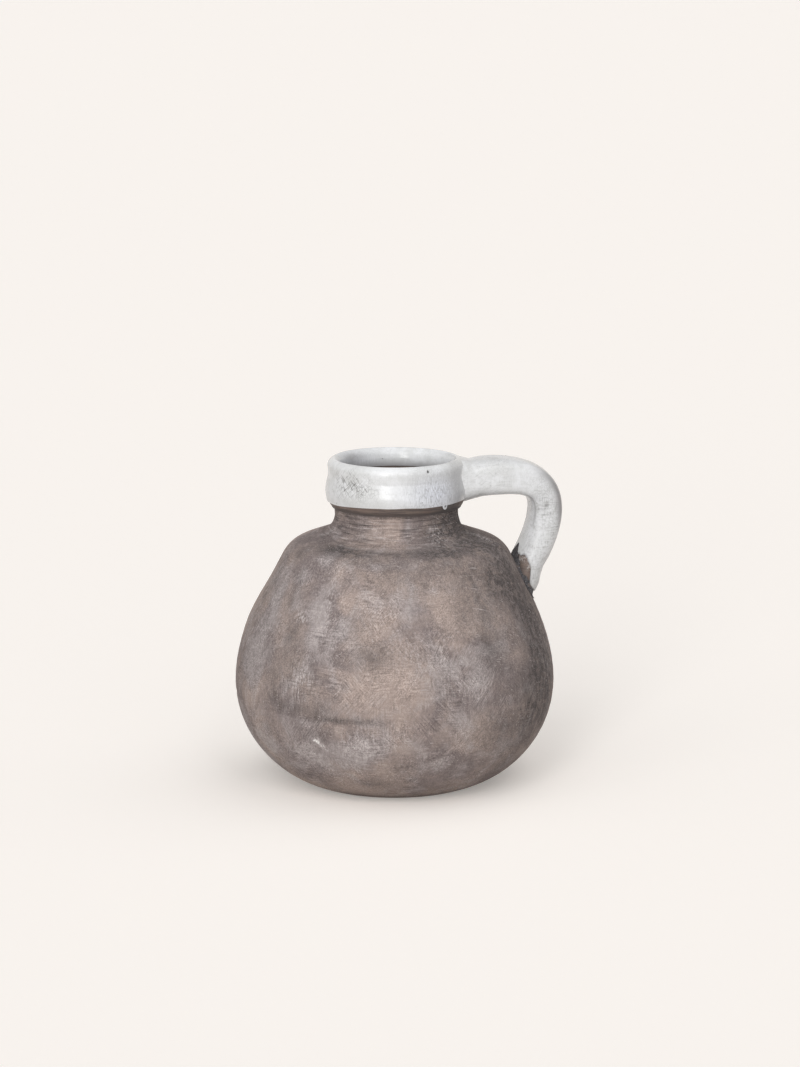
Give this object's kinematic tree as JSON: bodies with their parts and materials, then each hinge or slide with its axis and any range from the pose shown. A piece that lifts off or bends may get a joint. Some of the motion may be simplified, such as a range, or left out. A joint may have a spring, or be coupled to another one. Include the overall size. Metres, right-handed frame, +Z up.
{
  "type": "one-handled jug vase",
  "caption": "Hand-thrown terracotta jug vase with a bulging body, short neck, thick white-glazed collar and a glazed strap handle.",
  "frame": {"origin": "centre of the flat foot, on the plane the jug stands on", "axes": "+Z up along the jug's axis, +X towards the handle, -Y towards the side that the picture shows"},
  "size_m": [0.2004, 0.1934, 0.2],
  "materials": {
    "washed_terracotta": "matte fired clay with a thin grey-brown wash brushed on",
    "bare_terracotta": "brown fired clay without wash or glaze, wiped smooth",
    "white_glaze": "thick glossy white glaze with a fine crackle",
    "dark_slip": "rough smear of charcoal-coloured slip"
  },
  "bodies": {
    "root": {"lower_bowl": "washed_terracotta", "upper_dome": "washed_terracotta", "neck": "washed_terracotta", "rim_collar": "bare_terracotta", "collar_glaze": "white_glaze", "handle": "bare_terracotta", "handle_glaze": "white_glaze", "handle_pad": "dark_slip"}
  },
  "joints": []
}
